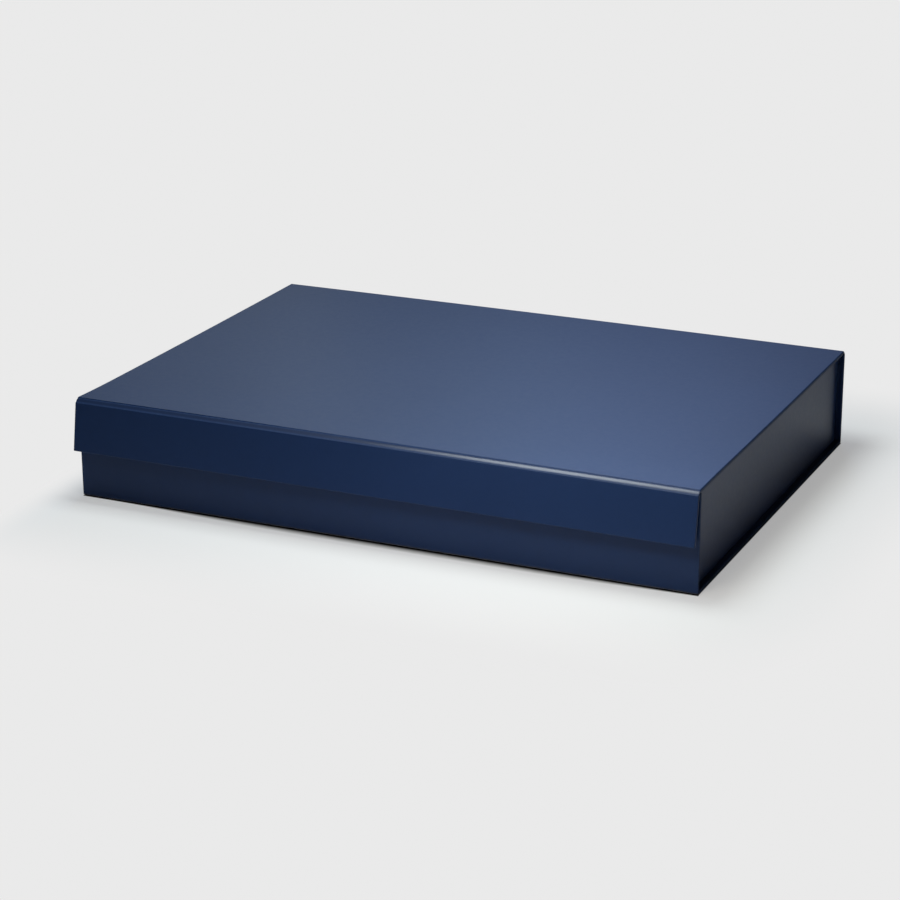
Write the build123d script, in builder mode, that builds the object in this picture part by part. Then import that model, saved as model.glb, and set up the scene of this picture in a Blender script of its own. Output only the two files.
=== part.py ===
from build123d import *
from dataclasses import dataclass
from math import asin, cos, degrees, radians, sin, tan
import os

# A shallow rigid gift box for large papers, closed by a hinged lid whose front flap holds by magnets.
# Frame: X along the long front, Y from the front to the back, Z up, millimetres.
# The origin is under the middle of the closed box, flap included, on the face that it stands on.

# Overall sizes
box_length = 440.0
tray_depth = 311.0  # outer face of the front wall to the outer face of the spine
box_height = 70.0

# Sheet thicknesses
board = 2.0  # greyboard inside every panel
wrap = 0.25  # laminated outer paper with its glue
liner = 0.2  # plain paper that covers the inner faces
tape_thickness = 0.15

# Papers
turn_in = 15.0  # outer paper folded round a board's free edge
liner_margin = 3.0  # strip of outer paper left bare round a liner
liner_play = 0.3  # between a liner's edge and the panel beside it
crease_strip = 12.0  # inner crease paper glued on each side of a crease
crease_liner_gap = 1.0  # a liner stops this far from the board's edge at a crease

# Creases
lid_crease_play = 0.9  # a crease of the lid or the flap is this much deeper than a panel is thick
base_crease_play = 0.1  # the same at the two folds under the box
board_play = 0.3  # paper's edge to the board's edge at a crease
hinge_shift = 0.1  # hinge line off the middle of its crease, towards the outer corner

# Lid and flap
lid_seat = 0.1  # between the walls' top edges and the lid
flap_gap = 1.0  # between the front wall and the flap when it hangs upright
flap_height = 36.0
flap_tilt = 9.2  # degrees that the flap stands off at rest
flap_touch = 0.3  # left between the shut flap and the front wall

# Side walls and their glued tabs
end_inset = 4.0  # case's end edge to the side wall's outer face
corner_tab = 25.0
tab_clear = 6.0  # tab's ends short of the wall's own height
tab_bevel = 8.0
tape_length = 16.0
tape_height = 34.0
tape_inset = 5.0  # from the wall's outer face

# Magnets and the steel discs that they meet
magnet_diameter = 15.0
magnet_thickness = 1.5
disc_diameter = 18.0
disc_thickness = 1.0
disc_fit = 0.1  # round a disc in its hole
magnet_spread = 260.0  # between the two pairs
magnet_drop = 22.0  # below the lid's top

# Depth of each layer behind a panel's outer face
board_back = wrap + board
turn_back = board_back + wrap
panel_thickness = turn_back + liner

# Folds: outer corner to the edge of each panel that meets there, and the hinge line behind both outer faces
lid_crease = turn_back + lid_crease_play
base_crease = turn_back + base_crease_play
hinge_depth = lid_crease / 2 - hinge_shift
lid_overhang = panel_thickness + flap_gap

# Heights
foot_bottom = turn_back
foot_top = foot_bottom + wrap
wall_top = box_height - panel_thickness - lid_seat
tab_bottom = foot_bottom + tab_clear
tab_top = wall_top - tab_clear

tilt = radians(flap_tilt)


def turned(behind, above):
    """Where a point this far behind and above the flap's hinge goes as the flap tilts out."""
    return behind * cos(tilt) + above * sin(tilt), above * cos(tilt) - behind * sin(tilt)


# The tilted flap's lower edge in front of the front wall
flap_reach = -turned(-hinge_depth, hinge_depth - flap_height)[0] - hinge_depth + lid_overhang

# Places across the box
y_front = flap_reach - (tray_depth + flap_reach) / 2
y_back = y_front + tray_depth
y_lid_front = y_front - lid_overhang
flap_hinge_y = y_lid_front + hinge_depth
lid_hinge_y = y_back - hinge_depth
hinge_z = box_height - hinge_depth
half_length = box_length / 2
wall_outer = half_length - end_inset
wall_inner = wall_outer - panel_thickness
y_tab_front = y_front + panel_thickness + tape_thickness
y_tab_back = y_back - panel_thickness - tape_thickness


def tilted(y, z):
    """Place of a point of the upright flap once the flap is tilted out about its hinge."""
    behind, above = turned(y - flap_hinge_y, z - hinge_z)
    return flap_hinge_y + behind, hinge_z + above


@dataclass(frozen=True)
class Panel:
    """One stiff panel of the case: its outer face on a plane whose normal points into the box."""

    name: str
    plane: Plane
    low: float
    high: float
    low_free: bool = False
    high_free: bool = False

    def board_span(self):
        """Both edges of the board, behind folded paper at a free edge and back from a crease."""
        low = self.low + (wrap if self.low_free else board_play)
        high = self.high - (wrap if self.high_free else board_play)
        return low, high


flap_corner = tilted(y_lid_front, box_height)

base = Panel("base", Plane.XY, y_front + base_crease, y_back - base_crease)
front_wall = Panel(
    "front_wall",
    Plane(origin=(0, y_front, 0), x_dir=(-1, 0, 0), z_dir=(0, 1, 0)),
    base_crease,
    wall_top,
    high_free=True,
)
spine = Panel(
    "spine",
    Plane(origin=(0, y_back, 0), x_dir=(1, 0, 0), z_dir=(0, -1, 0)),
    base_crease,
    box_height - lid_crease,
)
lid = Panel(
    "lid",
    Plane(origin=(0, 0, box_height), x_dir=(-1, 0, 0), z_dir=(0, 0, -1)),
    y_lid_front + lid_crease,
    y_back - lid_crease,
)
flap = Panel(
    "flap",
    Plane(origin=(0, *flap_corner), x_dir=(-1, 0, 0), z_dir=(0, cos(tilt), -sin(tilt))),
    -flap_height,
    -lid_crease,
    low_free=True,
)
panels = [base, front_wall, spine, lid, flap]

os.makedirs("parts", exist_ok=True)


def save(part, name):
    """Label a finished piece and write it under its own name."""
    part.label = name
    export_step(part, f"parts/{name}.step")


def layer(plane, length, low, high, start, thickness, mode=Mode.ADD):
    """Inside a part block: a flat rectangle of a panel, from one depth behind its face inwards."""
    with BuildSketch(plane.offset(start)) as sheet:
        with Locations((0, (low + high) / 2)):
            Rectangle(length, high - low)
    extrude(sheet.sketch, amount=thickness, mode=mode)


def along_length(points, length):
    """Inside a part block: a closed outline in the Y-Z plane, carried along the box's length."""
    with BuildSketch(Plane.YZ) as section:
        with BuildLine():
            Polyline(*points, close=True)
        make_face()
    extrude(section.sketch, amount=length / 2, both=True)


def crease_web(edge_a, back_a, edge_b, back_b):
    """Inside a part block: the strip of outer paper between the edges of two panels at a fold."""
    along_length([edge_a, edge_b, back_b, back_a], box_length)


# Inner side of a paper facet at a fold of a right angle, measured square to the panel that it leaves
facet_back = wrap * (1 + tan(radians(45 / 2)))

# Boards, with the holes for the magnets and the steel discs
for panel in panels:
    board_low, board_high = panel.board_span()
    with BuildPart() as panel_board:
        layer(panel.plane, box_length - 2 * wrap, board_low, board_high, wrap, board)
        if panel is flap:
            with Locations(panel.plane.offset(board_back)):
                with Locations((0, -magnet_drop)), GridLocations(magnet_spread, 0, 2, 1):
                    Hole(magnet_diameter / 2 + disc_fit)
        if panel is front_wall:
            with Locations(panel.plane.offset(board_back)):
                with Locations((0, box_height - magnet_drop)), GridLocations(magnet_spread, 0, 2, 1):
                    Hole(disc_diameter / 2 + disc_fit)
    save(panel_board.part, f"{panel.name}_board")

# Outer papers: each covers its board's outer face, folds round the free edges and turns in behind them
for panel in panels:
    board_low, board_high = panel.board_span()
    cut_low = board_low if panel.low_free else panel.low
    cut_high = board_high if panel.high_free else panel.high
    bare_low = panel.low + (turn_in if panel.low_free else 0)
    bare_high = panel.high - (turn_in if panel.high_free else 0)
    with BuildPart() as panel_wrap:
        layer(panel.plane, box_length, panel.low, panel.high, 0, turn_back)
        layer(panel.plane, box_length - 2 * wrap, cut_low, cut_high, wrap, board, Mode.SUBTRACT)
        layer(panel.plane, box_length - 2 * turn_in, bare_low, bare_high, board_back, wrap, Mode.SUBTRACT)
        if panel is base:
            crease_web(
                (y_front, base_crease),
                (y_front + facet_back, base_crease),
                (y_front + base_crease, 0),
                (y_front + base_crease, facet_back),
            )
            crease_web(
                (y_back, base_crease),
                (y_back - facet_back, base_crease),
                (y_back - base_crease, 0),
                (y_back - base_crease, facet_back),
            )
    save(panel_wrap.part, f"{panel.name}_wrap")

# Outer paper across the two creases that move
with BuildPart() as lid_crease_web:
    crease_web(
        (y_back, box_height - lid_crease),
        (y_back - facet_back, box_height - lid_crease),
        (y_back - lid_crease, box_height),
        (y_back - lid_crease, box_height - facet_back),
    )
save(lid_crease_web.part, "lid_crease_web")

with BuildPart() as flap_crease_web:
    crease_web(
        tilted(y_lid_front, box_height - lid_crease),
        tilted(y_lid_front + facet_back, box_height - lid_crease),
        (y_lid_front + lid_crease, box_height),
        (y_lid_front + lid_crease, box_height - facet_back),
    )
save(flap_crease_web.part, "flap_crease_web")

# Inner paper pressed into the same creases, glued behind each panel between the turned-in edges
crease_edge = lid_crease + board_play
strip_length = box_length - 2 * turn_in
groove = lid_crease / 2 + wrap  # groove's bottom, behind both outer faces

with BuildPart() as lid_crease_liner:
    along_length(
        [
            (y_back - board_back, box_height - crease_edge - crease_strip),
            (y_back - board_back, box_height - crease_edge),
            (y_back - groove, box_height - groove),
            (y_back - crease_edge, box_height - board_back),
            (y_back - crease_edge - crease_strip, box_height - board_back),
            (y_back - crease_edge - crease_strip, box_height - board_back - liner),
            (y_back - crease_edge, box_height - board_back - liner),
            (y_back - groove - liner, box_height - groove - liner),
            (y_back - board_back - liner, box_height - crease_edge),
            (y_back - board_back - liner, box_height - crease_edge - crease_strip),
        ],
        strip_length,
    )
save(lid_crease_liner.part, "lid_crease_liner")

with BuildPart() as flap_crease_liner:
    along_length(
        [
            tilted(y_lid_front + board_back, box_height - crease_edge - crease_strip),
            tilted(y_lid_front + board_back, box_height - crease_edge),
            (y_lid_front + groove, box_height - groove),
            (y_lid_front + crease_edge, box_height - board_back),
            (y_lid_front + crease_edge + crease_strip, box_height - board_back),
            (y_lid_front + crease_edge + crease_strip, box_height - board_back - liner),
            (y_lid_front + crease_edge, box_height - board_back - liner),
            (y_lid_front + groove + liner, box_height - groove - liner),
            tilted(y_lid_front + board_back + liner, box_height - crease_edge),
            tilted(y_lid_front + board_back + liner, box_height - crease_edge - crease_strip),
        ],
        strip_length,
    )
save(flap_crease_liner.part, "flap_crease_liner")

# Inner papers of the lid, the flap and the two upright case panels
crease_end = board_play + crease_liner_gap
liner_spans = {
    front_wall: (foot_bottom + liner_play, front_wall.high - liner_margin),
    spine: (foot_bottom + liner_play, spine.high - crease_end),
    lid: (lid.low + crease_end, lid.high - crease_end),
    flap: (flap.low + liner_margin, flap.high - crease_end),
}
for panel, (liner_low, liner_high) in liner_spans.items():
    with BuildPart() as panel_liner:
        layer(panel.plane, box_length - 2 * liner_margin, liner_low, liner_high, turn_back, liner)
    save(panel_liner.part, f"{panel.name}_liner")

# The base's inner paper lies on the side walls' glued feet, between the four walls' inner papers
with BuildPart() as base_liner:
    layer(
        base.plane,
        2 * (wall_inner - liner_play),
        y_front + panel_thickness + liner_play,
        y_back - panel_thickness - liner_play,
        foot_top,
        liner,
    )
save(base_liner.part, "base_liner")

# Magnets set in the flap, flush with its inner face, and steel discs flush with the front wall's outer face
for side_name, magnet_x in (("left", magnet_spread / 2), ("right", -magnet_spread / 2)):
    with BuildPart() as magnet:
        with BuildSketch(flap.plane.offset(board_back - magnet_thickness)):
            with Locations((magnet_x, -magnet_drop)):
                Circle(magnet_diameter / 2)
        extrude(amount=magnet_thickness)
    save(magnet.part, f"{side_name}_magnet")
    with BuildPart() as steel_disc:
        with BuildSketch(front_wall.plane.offset(wrap)):
            with Locations((magnet_x, box_height - magnet_drop)):
                Circle(disc_diameter / 2)
        extrude(amount=disc_thickness)
    save(steel_disc.part, f"{side_name}_steel_disc")

# Side walls: a board stands on the foot of its own outer paper, which folds over the top edge
# and turns round both ends into tabs that are taped to the front wall and the spine.
wall_back = wall_outer - turn_back
for side_name, side in (("left", -1), ("right", 1)):
    with BuildPart() as wall_board:
        with BuildSketch(Plane.XY.offset(foot_top)):
            with Locations((side * (wall_outer - wrap - board / 2), (y_tab_front + y_tab_back) / 2)):
                Rectangle(board, y_tab_back - y_tab_front - 2 * wrap)
        extrude(amount=wall_top - wrap - foot_top)
    save(wall_board.part, f"{side_name}_wall_board")

    with BuildPart() as wall_wrap:
        # Foot, outer face, top edge and the turned-in strip behind it, all along the wall
        with BuildSketch(Plane.XZ.offset(-y_tab_front)):
            with BuildLine():
                Polyline(
                    (side * (half_length - turn_in), foot_bottom),
                    (side * wall_outer, foot_bottom),
                    (side * wall_outer, wall_top),
                    (side * wall_back, wall_top),
                    (side * wall_back, wall_top - turn_in),
                    (side * (wall_back + wrap), wall_top - turn_in),
                    (side * (wall_back + wrap), wall_top - wrap),
                    (side * (wall_outer - wrap), wall_top - wrap),
                    (side * (wall_outer - wrap), foot_top),
                    (side * (half_length - turn_in), foot_top),
                    close=True,
                )
            make_face()
        extrude(amount=-(y_tab_back - y_tab_front))
        # A tapered tab at each end, turned in across the board's end
        for y_end in (y_tab_front, y_tab_back - wrap):
            with BuildSketch(Plane.XZ.offset(-y_end)):
                with BuildLine():
                    Polyline(
                        (side * wall_outer, tab_bottom),
                        (side * wall_outer, tab_top),
                        (side * (wall_outer - corner_tab), tab_top - tab_bevel),
                        (side * (wall_outer - corner_tab), tab_bottom + tab_bevel),
                        close=True,
                    )
                make_face()
            extrude(amount=-wrap)
    save(wall_wrap.part, f"{side_name}_wall_wrap")

    with BuildPart() as wall_liner:
        with BuildSketch(Plane.XY.offset(foot_top)):
            with Locations((side * (wall_inner + liner / 2), (y_tab_front + y_tab_back) / 2)):
                Rectangle(liner, y_tab_back - y_tab_front - 2 * (wrap + liner_play))
        extrude(amount=wall_top - liner_margin - foot_top)
    save(wall_liner.part, f"{side_name}_wall_liner")

    # Double-sided tape behind both tabs
    tape_middle = (side * (wall_outer - tape_inset - tape_length / 2), (tab_bottom + tab_top) / 2)
    for end_name, y_tape in (("front", y_tab_front - tape_thickness), ("back", y_tab_back)):
        with BuildPart() as tape:
            with BuildSketch(Plane.XZ.offset(-y_tape)):
                with Locations(tape_middle):
                    Rectangle(tape_length, tape_height)
            extrude(amount=-tape_thickness)
        save(tape.part, f"{end_name}_{side_name}_tape")

# Hinge lines and limits, for whoever moves the lid and the flap
shut_swing = degrees(asin((flap_gap - flap_touch) / (flap_height - hinge_depth)))
inside_depth = tray_depth - 2 * panel_thickness
print(f"lid hinge at y {lid_hinge_y:.3f} z {hinge_z:.3f}")
print(f"flap hinge at y {flap_hinge_y:.3f} z {hinge_z:.3f}")
print(f"flap turns {flap_tilt + shut_swing:.2f} degrees in to shut, {90 - flap_tilt:.2f} out to lie level")
print(f"inside {2 * wall_inner:.1f} by {inside_depth:.1f}, {wall_top - foot_top:.1f} high")
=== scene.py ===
"""A navy gift box with a magnetic flap, dressed for the studio.

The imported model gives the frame: 33 nodes on three bodies, the tray, the lid and the flap. Every sheet of paper is
built here as the folded sheet that it is, and every board, magnet, disc and tape is carried over and bent with it.
Metres throughout: X along the front, Y from the front to the back, Z up.
"""
import logging
from dataclasses import dataclass, field
from enum import Enum
from math import cos, pi, radians, sin
from typing import Any, Iterable, Sequence

import bmesh
import bpy
import numpy as np
from mathutils import Matrix, Vector


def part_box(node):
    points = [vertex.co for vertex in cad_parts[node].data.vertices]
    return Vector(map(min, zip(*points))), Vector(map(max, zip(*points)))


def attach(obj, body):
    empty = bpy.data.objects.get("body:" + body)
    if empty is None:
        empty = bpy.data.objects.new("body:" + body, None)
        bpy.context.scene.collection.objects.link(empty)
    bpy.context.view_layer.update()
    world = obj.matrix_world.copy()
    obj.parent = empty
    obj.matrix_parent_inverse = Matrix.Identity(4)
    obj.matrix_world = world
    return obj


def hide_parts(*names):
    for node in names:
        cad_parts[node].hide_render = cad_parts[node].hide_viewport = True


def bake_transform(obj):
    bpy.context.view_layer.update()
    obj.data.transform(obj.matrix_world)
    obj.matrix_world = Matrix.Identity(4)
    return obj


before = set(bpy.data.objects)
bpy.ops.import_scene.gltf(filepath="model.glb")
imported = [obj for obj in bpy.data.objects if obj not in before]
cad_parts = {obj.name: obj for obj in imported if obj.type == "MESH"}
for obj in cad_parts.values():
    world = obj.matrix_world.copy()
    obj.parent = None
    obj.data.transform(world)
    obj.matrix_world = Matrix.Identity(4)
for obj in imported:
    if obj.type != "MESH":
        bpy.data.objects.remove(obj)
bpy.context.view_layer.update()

log = logging.getLogger("gift_box")
MM = 0.001
WHITE = (1.0, 1.0, 1.0, 1.0)
BACKDROP = 0.822  # The pale background's strength.
MIRRORED_SHARE = 0.06  # The part of that background that glossy and transmission rays see.
WELD = 0.0002 * MM  # Points closer together than this are one.
SUPPORT = 0.4 * MM  # How far inside its ends a face has its closest lines.
KEY_SHIFT = 0.37  # Keeps round sizes off the borders of the welding grid's cells.
SHARP_ANGLE = radians(38)  # Folds sharper than this are not smoothed over.


# Sizes


@dataclass(frozen=True)
class BoxSizes:
    """The box's sizes in metres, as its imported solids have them."""

    half_length: float = 220.0 * MM
    height: float = 70.0 * MM
    tray_depth: float = 311.0 * MM
    wrap: float = 0.25 * MM
    liner: float = 0.2 * MM
    board_back: float = 2.25 * MM
    turn_back: float = 2.5 * MM
    panel: float = 2.7 * MM
    turn_in: float = 15.0 * MM
    liner_margin: float = 3.0 * MM
    liner_play: float = 0.3 * MM
    crease_end: float = 1.3 * MM
    crease_strip: float = 12.0 * MM
    lid_crease: float = 3.4 * MM
    base_crease: float = 2.6 * MM
    hinge_depth: float = 1.6 * MM
    overhang: float = 3.7 * MM
    flap_height: float = 36.0 * MM
    flap_tilt: float = radians(9.2)
    foot_bottom: float = 2.5 * MM
    foot_top: float = 2.75 * MM
    wall_top: float = 67.2 * MM
    wall_outer: float = 216.0 * MM
    corner_tab: float = 25.0 * MM
    tab_bottom: float = 8.5 * MM
    tab_top: float = 61.2 * MM
    tab_bevel: float = 8.0 * MM
    tape: float = 0.15 * MM
    sink: float = 0.22 * MM
    base_sink: float = 0.4 * MM

    @property
    def length(self) -> float:
        """The box's length."""
        return 2 * self.half_length

    @property
    def y_middle(self) -> float:
        """Halfway between the front wall and the spine."""
        return (self.y_front + self.y_back) / 2

    @property
    def y_front(self) -> float:
        """Outer face of the front wall."""
        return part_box("front_wall_wrap")[0].y

    @property
    def y_back(self) -> float:
        """Outer face of the spine."""
        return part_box("spine_wrap")[1].y

    @property
    def y_lid_front(self) -> float:
        """Front corner line of the lid, above the flap."""
        return self.y_front - self.overhang

    @property
    def y_tabs(self) -> tuple[float, float]:
        """Both ends of a side wall."""
        inset = self.panel + self.tape
        return self.y_front + inset, self.y_back - inset

    def tilted(self, y: float, z: float) -> tuple[float, float]:
        """Takes a point of the upright flap to where it is with the flap tilted out about its hinge.

        Args:
            y: Place from front to back.
            z: Height.

        Returns:
            The turned y and z.
        """
        hinge = (self.y_lid_front + self.hinge_depth, self.height - self.hinge_depth)
        behind, above = y - hinge[0], z - hinge[1]
        c, s = cos(self.flap_tilt), sin(self.flap_tilt)
        return hinge[0] + behind * c + above * s, hinge[1] + above * c - behind * s


SIZES = BoxSizes()


@dataclass(frozen=True)
class Bow:
    """The slight bow that board takes when damp paper dries on it, as one smooth lift of every point.

    The lid is crowned along its middle, sags at the middle of its ends and twists a little at its front, up at the left
    and down at the right. The base arches off the table at the middle of its front edge.
    """

    crown: float = 0.5 * MM
    crown_slope: float = 0.1 * MM
    end_sag: float = 0.5 * MM
    front_arch: float = 0.12 * MM
    front_twist: float = 0.6 * MM
    twist_start: float = -0.72

    def bent(self, points: np.ndarray) -> np.ndarray:
        """Lifts points, with the lift at the top and the lift at the bottom blended by height.

        The top's is (crown - slope * Y) * (1 - X^2) - sag * (1 - Y^2) * X^2 - twist * X * T^2, and the bottom's is
        arch * (1 - X^2) * ((1 - Y) / 2)^2. X and Y run from -1 to 1 over the box, and T from 0 where the twist
        starts to 1 at the front.

        Args:
            points: Places at rest, one row each.

        Returns:
            The lifted places.
        """
        x = np.clip(points[:, 0] / SIZES.half_length, -1, 1)
        y = np.clip((points[:, 1] - SIZES.y_middle) / (SIZES.tray_depth / 2), -1, 1)
        h = np.clip(points[:, 2] / SIZES.height, 0, 1)
        twisted = np.clip((self.twist_start - y) / (1 + self.twist_start), 0, 1)
        top = (self.crown - self.crown_slope * y) * (1 - x**2) - self.end_sag * (1 - y**2) * x**2
        top -= self.front_twist * x * twisted**2
        bottom = self.front_arch * (1 - x**2) * ((1 - y) / 2) ** 2
        lifted = points.copy()
        lifted[:, 2] += top * h + bottom * (1 - h)
        return lifted


BOW = Bow()


# Shader wiring


class Signal:
    """A shader socket that takes part in ordinary sums."""

    def __init__(self, wiring: "Wiring", socket: Any) -> None:
        """Keeps the socket and the tree that it is in."""
        self.wiring = wiring
        self.socket = socket

    def _sum(self, operation: str, first: Any, second: Any) -> "Signal":
        """Adds one Math node."""
        return self.wiring.node("ShaderNodeMath", {"operation": operation}, {0: first, 1: second})

    def __add__(self, other: Any) -> "Signal":
        """self + other."""
        return self._sum("ADD", self, other)

    def __radd__(self, other: Any) -> "Signal":
        """other + self."""
        return self._sum("ADD", other, self)

    def __sub__(self, other: Any) -> "Signal":
        """self - other."""
        return self._sum("SUBTRACT", self, other)

    def __rsub__(self, other: Any) -> "Signal":
        """other - self."""
        return self._sum("SUBTRACT", other, self)

    def __mul__(self, other: Any) -> "Signal":
        """self * other."""
        return self._sum("MULTIPLY", self, other)

    def __rmul__(self, other: Any) -> "Signal":
        """other * self."""
        return self._sum("MULTIPLY", other, self)

    def __pow__(self, other: Any) -> "Signal":
        """self to the power of other."""
        return self._sum("POWER", self, other)

    def __rpow__(self, other: Any) -> "Signal":
        """other to the power of self."""
        return self._sum("POWER", other, self)

    def between(self, low: float, high: float, to_low: float = 0.0, to_high: float = 1.0) -> "Signal":
        """Maps low..high smoothly to to_low..to_high.

        Args:
            low: Value that becomes to_low.
            high: Value that becomes to_high.
            to_low: Lowest result.
            to_high: Highest result.

        Returns:
            The mapped signal.
        """
        return self.wiring.node(
            "ShaderNodeMapRange",
            {"interpolation_type": "SMOOTHSTEP"},
            {"Value": self, "From Min": low, "From Max": high, "To Min": to_low, "To Max": to_high},
        )


class Wiring:
    """The node tree of one material or of the world."""

    def __init__(self, tree: bpy.types.NodeTree) -> None:
        """Empties the tree."""
        self.tree = tree
        tree.nodes.clear()

    def node(
        self,
        kind: str,
        settings: dict[str, Any] | None = None,
        sockets: dict[Any, Any] | None = None,
        output: int | str = 0,
    ) -> Signal:
        """Adds a node: its settings first, then the values or links of its sockets.

        Args:
            kind: Blender's type of node.
            settings: Properties of the node.
            sockets: Values or Signals by the socket's name or number.
            output: The output that the result stands for.

        Returns:
            The chosen output.
        """
        made = self.tree.nodes.new(kind)
        for name, value in (settings or {}).items():
            setattr(made, name, value)
        for name, value in (sockets or {}).items():
            if isinstance(value, Signal):
                self.tree.links.new(value.socket, made.inputs[name])
            else:
                made.inputs[name].default_value = value
        return Signal(self, made.outputs[output] if made.outputs else None)

    def place(self) -> Signal:
        """Object coordinates, in metres."""
        return self.node("ShaderNodeTexCoord", output="Object")

    def noise(self, scale: float, detail: float = 2.0, roughness: float = 0.5, at: Signal | None = None) -> Signal:
        """Cloudy noise from 0 to 1.

        Args:
            scale: Patches per metre.
            detail: Finer octaves.
            roughness: Weight of the finer octaves.
            at: Where it is read, Object coordinates if left out.

        Returns:
            The noise's value.
        """
        return self.node(
            "ShaderNodeTexNoise",
            {},
            {"Vector": at or self.place(), "Scale": scale, "Detail": detail, "Roughness": roughness},
        )

    def stretched(self, scale: Sequence[float]) -> Signal:
        """Object coordinates, each axis with its own scale."""
        return self.node("ShaderNodeMapping", {}, {"Vector": self.place(), "Scale": tuple(scale)})

    def attribute(self, name: str) -> Signal:
        """A number stored on the mesh's points."""
        return self.node("ShaderNodeAttribute", {"attribute_name": name}, output="Fac")

    def mix(self, amount: Any, first: Any, second: Any) -> Signal:
        """Mixes two colours.

        Args:
            amount: 0 for the first, 1 for the second.
            first: Colour or Signal.
            second: Colour or Signal.

        Returns:
            The mixed colour.
        """
        colours = {
            key: value if isinstance(value, Signal) else (*value, 1.0) for key, value in ((6, first), (7, second))
        }
        return self.node("ShaderNodeMix", {"data_type": "RGBA"}, {0: amount, **colours}, output=2)

    def seen(self) -> Signal:
        """How much of the pale backdrop a ray sees.

        Returns:
            1 for camera rays, the mirrored share for glossy and transmission rays, and 0 for the rest.
        """
        camera, glossy, through = (
            self.node("ShaderNodeLightPath", output=f"Is {kind} Ray") for kind in ("Camera", "Glossy", "Transmission")
        )
        return camera + (glossy + through) * MIRRORED_SHARE

    def coated(self, sockets: dict[str, Any]) -> Signal:
        """A Principled shader with these values or links."""
        return self.node("ShaderNodeBsdfPrincipled", {}, sockets)

    def glow(self, kind: str, strength: float) -> Signal:
        """An even white Emission or Background shader."""
        return self.node(f"ShaderNode{kind}", {}, {"Color": WHITE, "Strength": strength})

    def crossed(self, amount: Signal, first: Signal | None, second: Signal) -> Signal:
        """Mixes two shaders; a first that is None is plain black."""
        shaders = {key: shader for key, shader in ((1, first), (2, second)) if shader is not None}
        return self.node("ShaderNodeMixShader", {}, {0: amount, **shaders})

    def larger(self, first: Any, second: Any) -> Signal:
        """The larger of two numbers."""
        return self.node("ShaderNodeMath", {"operation": "MAXIMUM"}, {0: first, 1: second})

    def bump(self, height: Signal, distance: float, under: Signal | None = None) -> Signal:
        """A normal tilted by a height.

        Args:
            height: Height from 0 to 1.
            distance: What a height of 1 is, in metres.
            under: A coarser normal that this one is laid over.

        Returns:
            The normal.
        """
        sockets = {"Height": height, "Distance": distance, "Strength": 1.0}
        if under is not None:
            sockets["Normal"] = under
        return self.node("ShaderNodeBump", {}, sockets)


# Finishes


@dataclass(frozen=True)
class Finish:
    """A surface finish. It makes its material once and hands out the same one after that."""

    name: str

    def material(self) -> bpy.types.Material:
        """Finds the finish's material, or makes it on its first use.

        Returns:
            The material.
        """
        found = bpy.data.materials.get(self.name)
        if found is None:
            found = bpy.data.materials.new(self.name)
            found.use_nodes = True
            wiring = Wiring(found.node_tree)
            surface = self.surface(wiring)
            wiring.node("ShaderNodeOutputMaterial", {}, {"Surface": surface})
        return found

    def surface(self, wiring: Wiring) -> Signal:
        """Builds the shader; each finish has its own.

        Args:
            wiring: The material's node tree.

        Returns:
            The shader.
        """
        raise NotImplementedError


@dataclass(frozen=True)
class FilmedPaper(Finish):
    """Navy printed paper under a satin film: fine film grain and slow waves where glue dried.

    The mesh's fold mark is near 0.25 at a board's edge, where the film is rubbed pale and dull, and near 1 along a
    crease, where the film is glossier and its colour is darkened as painted shade.
    """

    name: str = "navy_filmed_paper"
    navy: tuple[float, float, float] = (0.0112, 0.0308, 0.0955)
    deep: tuple[float, float, float] = (0.0101, 0.0282, 0.0880)
    # Painted shade: the darker navy that creases are given.
    creased: tuple[float, float, float] = (0.0075, 0.0210, 0.0660)
    worn: tuple[float, float, float] = (0.035, 0.075, 0.16)
    roughness: float = 0.34
    index: float = 1.25
    edge_wear: float = 0.22
    press_roughness: float = 0.18
    press_index: float = 1.4
    wave_height: float = 0.10 * MM
    grain_height: float = 0.004 * MM
    fibre_height: float = 0.006 * MM

    def surface(self, wiring: Wiring) -> Signal:
        """Cloudy navy, worn along board edges, with painted shade darkening the creases, over waves, fibres and film
        grain.

        Args:
            wiring: The material's node tree.

        Returns:
            The shader.
        """
        cloud = wiring.noise(9.0, 3.0, 0.6)
        mottle = wiring.noise(260.0, 4.0, 0.65)
        fold = wiring.attribute("fold")
        scuff = wiring.noise(420.0, 3.0, 0.7).between(0.48, 0.72)
        tone = (cloud * 0.6 + mottle * 0.4).between(0.3, 0.7)
        crease_gloss_and_shade = fold.between(0.5, 0.95)
        rubbed = fold.between(0.0, 0.25) * (1.0 - crease_gloss_and_shade)
        # Painted shade: along creases the print is darkened to the crease navy; the same mask gives them the glossier
        # coat.
        printed = wiring.mix(crease_gloss_and_shade, wiring.mix(tone, self.deep, self.navy), self.creased)
        colour = wiring.mix(rubbed * (scuff * 0.25 + 0.05), printed, self.worn)
        rough = self.roughness + (mottle - 0.5) * 0.10 + rubbed * self.edge_wear
        waves = wiring.bump(wiring.noise(7.0, 1.0, 0.4), self.wave_height)
        fibre = wiring.noise(1.0, 3.0, 0.6, wiring.stretched((160.0, 420.0, 420.0)))
        fibres = wiring.bump(fibre, self.fibre_height, waves)
        grain = wiring.bump(wiring.noise(1500.0, 2.0, 0.5), self.grain_height, fibres)
        return wiring.coated(
            {
                "Base Color": colour,
                "Roughness": rough,
                "IOR": self.index,
                "Coat Weight": crease_gloss_and_shade,
                "Coat Roughness": self.press_roughness,
                "Coat IOR": self.press_index,
                "Normal": grain,
            }
        )


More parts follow.
